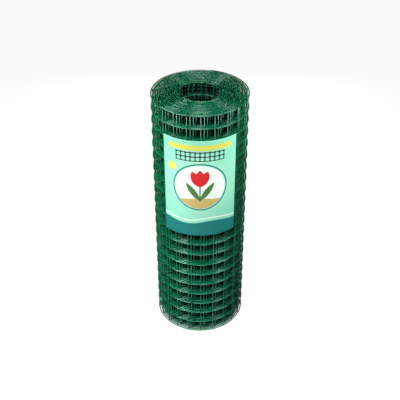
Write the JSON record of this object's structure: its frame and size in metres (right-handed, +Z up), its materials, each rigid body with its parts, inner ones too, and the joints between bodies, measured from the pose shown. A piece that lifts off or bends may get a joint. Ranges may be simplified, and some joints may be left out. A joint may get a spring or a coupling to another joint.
{
  "type": "roll of wire fencing",
  "caption": "Roll of green plastic-coated welded wire mesh standing on its end, wound in even turns round an open core, with a paper label bent round its front.",
  "frame": {"origin": "centre of the open core, on the level of the lower cut ends that the roll stands on", "axes": "+Z up along the core's axis, -Y towards the label"},
  "size_m": [0.1789, 0.1794, 0.511],
  "materials": {
    "coated_wire": "smooth satin plastic coat over steel wire",
    "label_paper": "printed coated paper"
  },
  "bodies": {
    "root": {"mesh_roll": "coated_wire", "paper_label": "label_paper"}
  },
  "joints": []
}
